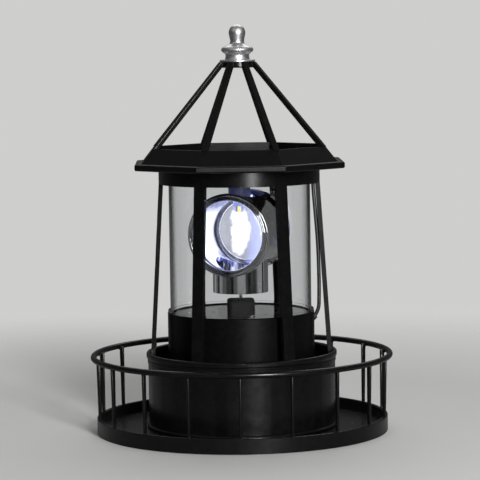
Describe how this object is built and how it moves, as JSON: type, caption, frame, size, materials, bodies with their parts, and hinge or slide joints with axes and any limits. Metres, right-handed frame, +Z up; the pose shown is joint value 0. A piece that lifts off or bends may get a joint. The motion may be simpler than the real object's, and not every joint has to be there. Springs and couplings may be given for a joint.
{
  "type": "garden lighthouse ornament",
  "caption": "Solar garden lantern shaped as a lighthouse top: railed gallery, drum, strapped clear window, turning chrome beacon head and open octagonal roof with finial.",
  "frame": {"origin": "middle of the gallery's resting face, at the bottom of the bounding box", "axes": "+Z up through the beacon's axis to the finial; the front looks along -Y; +X is to the right seen from the front"},
  "size_m": [0.13, 0.13, 0.1743],
  "materials": {
    "satin_black": "satin black paint with fine texture",
    "black_plastic": "satin black moulded plastic",
    "gloss_floor": "glossy black",
    "cover_rubber": "matte black, slightly rough",
    "clear_window": "clear plastic",
    "clear_lens": "clear polished lens",
    "chrome": "bright chrome plating",
    "satin_silver": "satin silver",
    "steel": "plain steel",
    "solar_cells": "dark blue cells under clear resin",
    "holder_plastic": "white plastic",
    "led_resin": "clear resin lamp",
    "board_green": "green board with solder mask",
    "gear_plastic": "natural white gear plastic",
    "brass": "turned brass",
    "cell_jacket": "plain green film jacket with silver ends",
    "switch_metal": "stamped metal can",
    "switch_plastic": "black plastic knob",
    "lead_rubber": "black cable sheath"
  },
  "bodies": {
    "root": {"gallery_tray": "satin_black", "gallery_balusters": "satin_black", "gallery_rail": "satin_black", "drum_shell": "satin_black", "lantern_frame": "satin_black", "roof_rods": "satin_black", "roof_hub": "satin_black", "roof_hood": "black_plastic", "lamp_cup": "black_plastic", "panel_bezel": "black_plastic", "base_cover": "black_plastic", "cup_floor": "gloss_floor", "shaft_cover": "cover_rubber", "window_glass": "clear_window", "finial": "satin_silver", "idler_pin": "steel", "tray_screws": "steel", "cover_screws": "steel", "frame_screws": "steel", "roof_screws": "steel", "gear_case_screws": "steel", "board_screws": "steel", "motor": "steel", "battery_spring": "steel", "battery_contact": "steel", "solar_panel": "solar_cells", "led_holder": "holder_plastic", "lamp_led": "led_resin", "led_board": "board_green", "circuit_board": "board_green", "gear_case": "gear_plastic", "battery": "cell_jacket", "switch_body": "switch_metal", "power_lead": "lead_rubber", "lead_grommet": "lead_rubber"},
    "beacon": {"drive_shaft": "steel", "drive_gear": "gear_plastic", "head_body": "chrome", "front_lens_ring": "chrome", "rear_lens_ring": "chrome", "front_lens": "clear_lens", "rear_lens": "clear_lens"},
    "idler": {"idler_gear": "gear_plastic"},
    "motor_rotor": {"motor_pinion": "brass"},
    "switch": {"switch_slider": "switch_plastic"},
    "door": {"battery_door": "black_plastic"}
  },
  "joints": [
    {"name": "beacon_spin", "type": "hinge", "parent": "root", "child": "beacon", "pos_m": [0, 0, 0.0854], "axis": [0, 0, 1], "continuous": true},
    {"name": "idler_spin", "type": "hinge", "parent": "root", "child": "idler", "pos_m": [0.01, 0, 0.044], "axis": [0, 0, 1], "continuous": true},
    {"name": "motor_spin", "type": "hinge", "parent": "root", "child": "motor_rotor", "pos_m": [0.015, 0.00866, 0.042], "axis": [0, 0, 1], "continuous": true},
    {"name": "switch_slide", "type": "slide", "parent": "root", "child": "switch", "axis": [1, 0, 0], "range_m": [0, 0.002]},
    {"name": "door_lift", "type": "slide", "parent": "root", "child": "door", "axis": [0, 0, -1], "range_m": [0, 0.015]}
  ],
  "couplings": [
    {"joint": "idler_spin", "follows": "beacon_spin", "ratio": -4},
    {"joint": "motor_spin", "follows": "beacon_spin", "ratio": 16}
  ]
}
